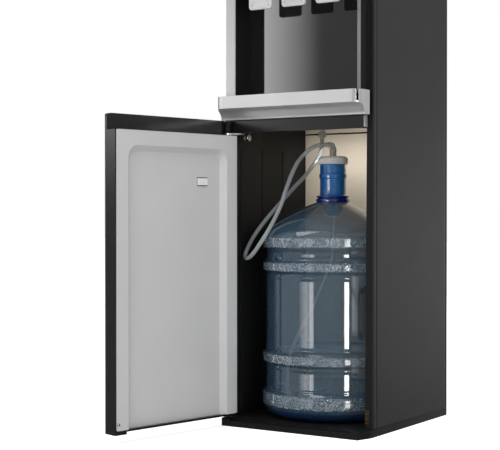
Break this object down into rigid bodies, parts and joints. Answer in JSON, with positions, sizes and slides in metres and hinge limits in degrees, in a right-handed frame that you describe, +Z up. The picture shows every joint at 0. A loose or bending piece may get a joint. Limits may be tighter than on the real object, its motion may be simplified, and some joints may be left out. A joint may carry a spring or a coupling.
{
  "type": "water dispenser",
  "caption": "Floor-standing water dispenser with a hinged door over a bottle bay, a drip tray, an alcove with lever taps, and a hose-fed bottle inside.",
  "frame": {"origin": "middle of the plinth's underside, on the floor", "axes": "+Z up, +X to the right seen from the front, the front faces -Y"},
  "size_m": [0.3653, 0.6228, 1.045],
  "materials": {
    "black_satin": "satin moulded ABS",
    "black_gloss": "high gloss black",
    "black_sheet": "powder coated steel sheet",
    "silver_tray": "satin silver coated plastic",
    "chrome_trim": "bright plated",
    "grey_liner": "satin light grey vacuum formed sheet",
    "beige_wall": "matt beige plastic",
    "brass": "bright",
    "steel": "brushed stainless",
    "foam_jacket": "foam jacketed tank",
    "hot_tank_metal": "spun metal tank",
    "black_enamel": "black enamel",
    "bottle_clear": "clear blue polycarbonate",
    "white_cap": "semi gloss white",
    "paddle_clear": "milky white acrylic",
    "probe_fitting": "milky nylon",
    "hose_clear": "clear soft tube",
    "switch_red": "gloss red",
    "switch_green": "gloss green",
    "rubber_foot": "matt black rubber"
  },
  "bodies": {
    "cabinet": {"base_plinth": "black_satin", "levelling_foot_front_left": "rubber_foot", "levelling_foot_front_right": "rubber_foot", "levelling_foot_rear_left": "rubber_foot", "levelling_foot_rear_right": "rubber_foot", "side_panel_left": "black_sheet", "side_panel_right": "black_sheet", "rear_panel": "black_sheet", "bay_liner_left": "black_satin", "bay_liner_right": "black_satin", "bay_back_wall": "beige_wall", "bay_ceiling": "beige_wall", "top_cover": "black_satin", "door_jamb_left": "black_satin", "door_jamb_right": "black_satin", "header_panel": "black_gloss", "ball_catch_case": "brass", "hinge_pin_lower": "steel", "hinge_pin_upper": "steel", "hinge_bracket": "steel", "drip_tray_shell": "silver_tray", "alcove_cheek_left": "black_satin", "alcove_cheek_right": "black_satin", "alcove_trim_left": "chrome_trim", "alcove_trim_right": "chrome_trim", "alcove_back_panel": "black_gloss", "control_head": "black_gloss", "tap_nozzle_left": "steel", "tap_nozzle_middle": "steel", "tap_nozzle_right": "steel", "paddle_shaft": "steel", "compressor": "black_enamel", "cold_tank": "foam_jacket", "hot_tank": "hot_tank_metal", "feed_pump": "black_satin", "power_inlet": "black_satin", "drain_plug": "black_satin", "condenser_coil": "black_enamel", "feed_hose": "hose_clear", "ceiling_hose_fitting": "probe_fitting", "hose_hook": "steel"},
    "door": {"door_shell": "black_gloss", "door_liner": "grey_liner", "door_sensor_magnet": "white_cap", "catch_strike": "steel"},
    "bottle": {"water_bottle": "bottle_clear", "probe_cap": "white_cap", "elbow_fitting": "probe_fitting", "dip_tube": "probe_fitting"},
    "cup": {"drip_cup": "black_satin"},
    "grille": {"drip_grille": "steel"},
    "paddle_left": {"tap_paddle_left": "paddle_clear"},
    "paddle_middle": {"tap_paddle_middle": "paddle_clear"},
    "paddle_right": {"tap_paddle_right": "paddle_clear"},
    "lock_button": {"child_lock_button": "silver_tray"},
    "hot_rocker": {"hot_switch": "switch_red"},
    "cold_rocker": {"cold_switch": "switch_green"},
    "lower_ball": {"catch_ball_lower": "brass"},
    "upper_ball": {"catch_ball_upper": "brass"}
  },
  "joints": [
    {"name": "door_hinge", "type": "hinge", "parent": "cabinet", "child": "door", "pos_m": [-0.1415, -0.161, 0.28], "axis": [0, 0, -1], "range_deg": [-101.3, 10]},
    {"name": "bottle_slide", "type": "slide", "parent": "cabinet", "child": "bottle", "axis": [0, -1, 0], "range_m": [0, 0.035], "deforming": ["feed_hose"]},
    {"name": "cup_lift", "type": "slide", "parent": "cabinet", "child": "cup", "axis": [0, 0, 1], "range_m": [0, 0.09]},
    {"name": "grille_lift", "type": "slide", "parent": "cup", "child": "grille", "axis": [0, 0, 1], "range_m": [0, 0.06]},
    {"name": "paddle_left_tilt", "type": "hinge", "parent": "cabinet", "child": "paddle_left", "pos_m": [-0.072, -0.1525, 0.866], "axis": [1, 0, 0], "range_deg": [0, 10], "stiffness_Nm_per_rad": 0.6, "springref_deg": -5.73},
    {"name": "paddle_middle_tilt", "type": "hinge", "parent": "cabinet", "child": "paddle_middle", "pos_m": [0, -0.1525, 0.866], "axis": [1, 0, 0], "range_deg": [0, 10], "stiffness_Nm_per_rad": 0.6, "springref_deg": -5.73},
    {"name": "paddle_right_tilt", "type": "hinge", "parent": "cabinet", "child": "paddle_right", "pos_m": [0.072, -0.1525, 0.866], "axis": [1, 0, 0], "range_deg": [0, 10], "stiffness_Nm_per_rad": 0.6, "springref_deg": -5.73},
    {"name": "lock_button_press", "type": "slide", "parent": "cabinet", "child": "lock_button", "axis": [0, 1, 0], "range_m": [0, 0.0015], "stiffness_N_per_m": 300, "springref_m": -0.0005},
    {"name": "hot_rocker_tilt", "type": "hinge", "parent": "cabinet", "child": "hot_rocker", "pos_m": [0.057, 0.148, 0.64], "axis": [-1, 0, 0], "range_deg": [0, 14]},
    {"name": "cold_rocker_tilt", "type": "hinge", "parent": "cabinet", "child": "cold_rocker", "pos_m": [0.083, 0.148, 0.64], "axis": [-1, 0, 0], "range_deg": [0, 14]},
    {"name": "lower_ball_press", "type": "slide", "parent": "cabinet", "child": "lower_ball", "axis": [0, 0, -1], "range_m": [0, 0.001], "stiffness_N_per_m": 300, "springref_m": -0.0005},
    {"name": "upper_ball_press", "type": "slide", "parent": "cabinet", "child": "upper_ball", "axis": [0, 0, 1], "range_m": [0, 0.001], "stiffness_N_per_m": 300, "springref_m": -0.0005}
  ]
}
